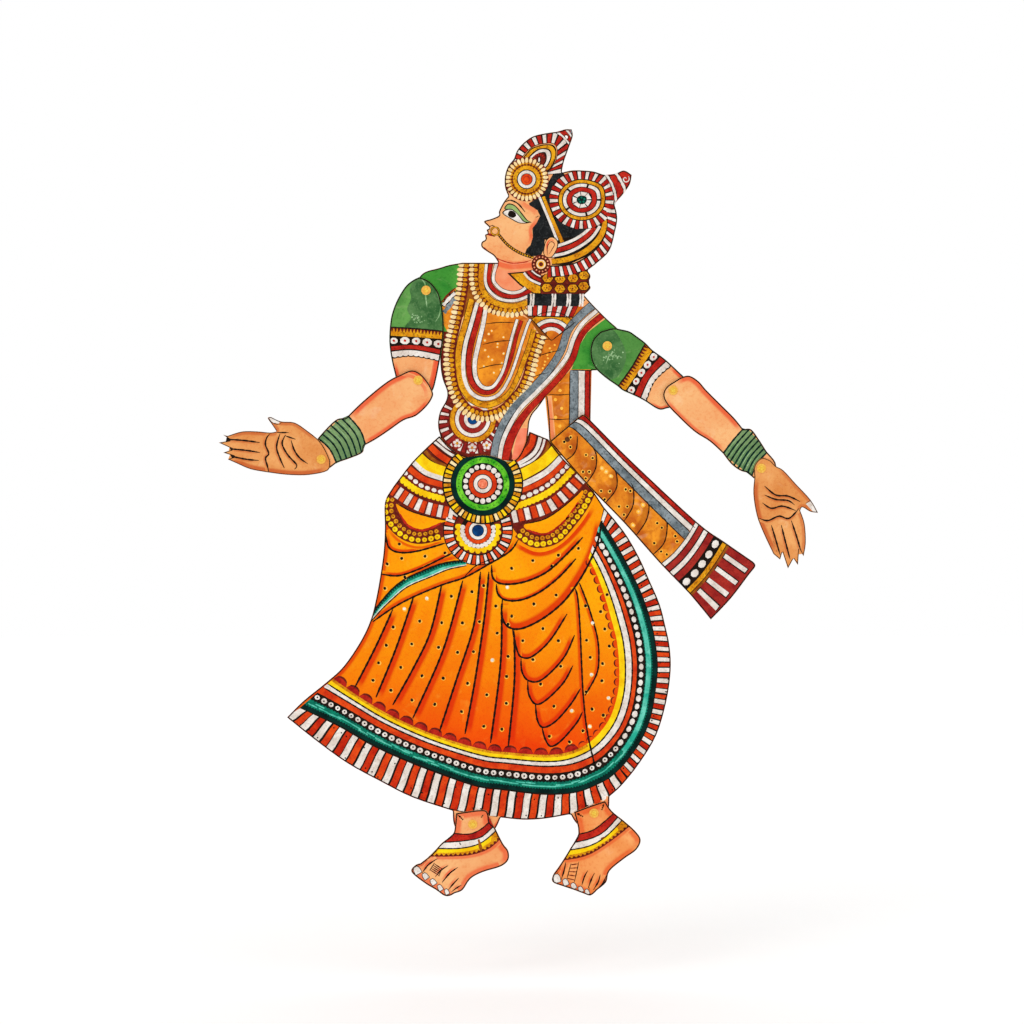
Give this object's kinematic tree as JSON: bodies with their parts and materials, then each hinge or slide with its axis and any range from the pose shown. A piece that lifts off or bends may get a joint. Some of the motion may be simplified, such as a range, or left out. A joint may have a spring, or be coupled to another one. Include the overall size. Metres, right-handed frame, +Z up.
{
  "type": "articulated hide shadow puppet",
  "caption": "Flat painted hide shadow puppet of a dancer, with thread-tied shoulders, elbows, wrists, waist, sash and ankles and a cane spine.",
  "frame": {"origin": "centre of the hanging hole near the tip of the front plume, at the torso sheet's back face", "axes": "+Z up along the figure, +X to the viewer's right, painted front faces -Y"},
  "size_m": [0.538, 0.0111, 0.6898],
  "materials": {
    "hide_torso": "translucent painted goat hide, satin",
    "hide_skirt": "translucent painted goat hide, orange, satin",
    "hide_sash": "translucent painted goat hide, orange and brown, satin",
    "hide_sleeve": "translucent painted goat hide, green, satin",
    "hide_skin": "translucent painted goat hide, peach, satin",
    "hide_hand": "translucent painted goat hide, tan, satin",
    "tie_thread": "waxed pale yellow cotton thread, matt",
    "lashing_thread": "dark waxed cotton thread, matt",
    "rawhide": "bare pale rawhide, matt",
    "cane": "split cane, satin skin outward"
  },
  "bodies": {
    "torso": {"torso_hide": "hide_torso", "waist_tie": "tie_thread", "waist_washer_front": "rawhide", "waist_washer_back": "rawhide", "shoulder_tie_left": "tie_thread", "shoulder_washer_front_left": "rawhide", "shoulder_washer_back_left": "rawhide", "shoulder_tie_right": "tie_thread", "shoulder_washer_front_right": "rawhide", "shoulder_washer_back_right": "rawhide", "sash_tie": "lashing_thread", "sash_washer_back": "rawhide", "sash_spacer": "rawhide", "spine_cane": "cane"},
    "skirt": {"skirt_hide": "hide_skirt", "ankle_tie_left": "tie_thread", "ankle_washer_front_left": "rawhide", "ankle_washer_back_left": "rawhide", "ankle_tie_right": "tie_thread", "ankle_washer_front_right": "rawhide", "ankle_washer_back_right": "rawhide"},
    "sash_end": {"sash_end_hide": "hide_sash"},
    "foot_left": {"foot_hide_left": "hide_skin"},
    "foot_right": {"foot_hide_right": "hide_skin"},
    "upper_arm_left": {"upper_arm_hide_left": "hide_sleeve", "elbow_tie_left": "tie_thread", "elbow_washer_front_left": "rawhide", "elbow_spacer_left": "rawhide"},
    "upper_arm_right": {"upper_arm_hide_right": "hide_sleeve", "elbow_tie_right": "tie_thread", "elbow_washer_front_right": "rawhide", "elbow_spacer_right": "rawhide"},
    "forearm_left": {"forearm_hide_left": "hide_skin", "wrist_tie_left": "tie_thread", "wrist_washer_front_left": "rawhide"},
    "forearm_right": {"forearm_hide_right": "hide_skin", "wrist_tie_right": "tie_thread", "wrist_washer_front_right": "rawhide"},
    "hand_left": {"hand_hide_left": "hide_hand"},
    "hand_right": {"hand_hide_right": "hide_hand"}
  },
  "joints": [
    {"name": "waist", "type": "hinge", "parent": "torso", "child": "skirt", "pos_m": [-0.075, 0, -0.312], "axis": [0, -1, 0], "range_deg": [-12, 12]},
    {"name": "sash_swing", "type": "hinge", "parent": "torso", "child": "sash_end", "pos_m": [0.001, 0, -0.272], "axis": [0, -1, 0], "range_deg": [-50, 25]},
    {"name": "shoulder_left", "type": "hinge", "parent": "torso", "child": "upper_arm_left", "pos_m": [-0.126, 0, -0.138], "axis": [0, -1, 0], "range_deg": [-150, 55]},
    {"name": "shoulder_right", "type": "hinge", "parent": "torso", "child": "upper_arm_right", "pos_m": [0.037, 0, -0.188], "axis": [0, -1, 0], "range_deg": [-55, 150]},
    {"name": "elbow_left", "type": "hinge", "parent": "upper_arm_left", "child": "forearm_left", "pos_m": [-0.133, 0, -0.219], "axis": [0, -1, 0], "continuous": true},
    {"name": "elbow_right", "type": "hinge", "parent": "upper_arm_right", "child": "forearm_right", "pos_m": [0.096, 0, -0.228], "axis": [0, -1, 0], "continuous": true},
    {"name": "wrist_left", "type": "hinge", "parent": "forearm_left", "child": "hand_left", "pos_m": [-0.22, 0, -0.29], "axis": [0, -1, 0], "continuous": true},
    {"name": "wrist_right", "type": "hinge", "parent": "forearm_right", "child": "hand_right", "pos_m": [0.175, 0, -0.298], "axis": [0, -1, 0], "continuous": true},
    {"name": "ankle_left", "type": "hinge", "parent": "skirt", "child": "foot_left", "pos_m": [-0.084, 0, -0.618], "axis": [0, -1, 0], "continuous": true},
    {"name": "ankle_right", "type": "hinge", "parent": "skirt", "child": "foot_right", "pos_m": [0.025, 0, -0.608], "axis": [0, -1, 0], "continuous": true}
  ]
}
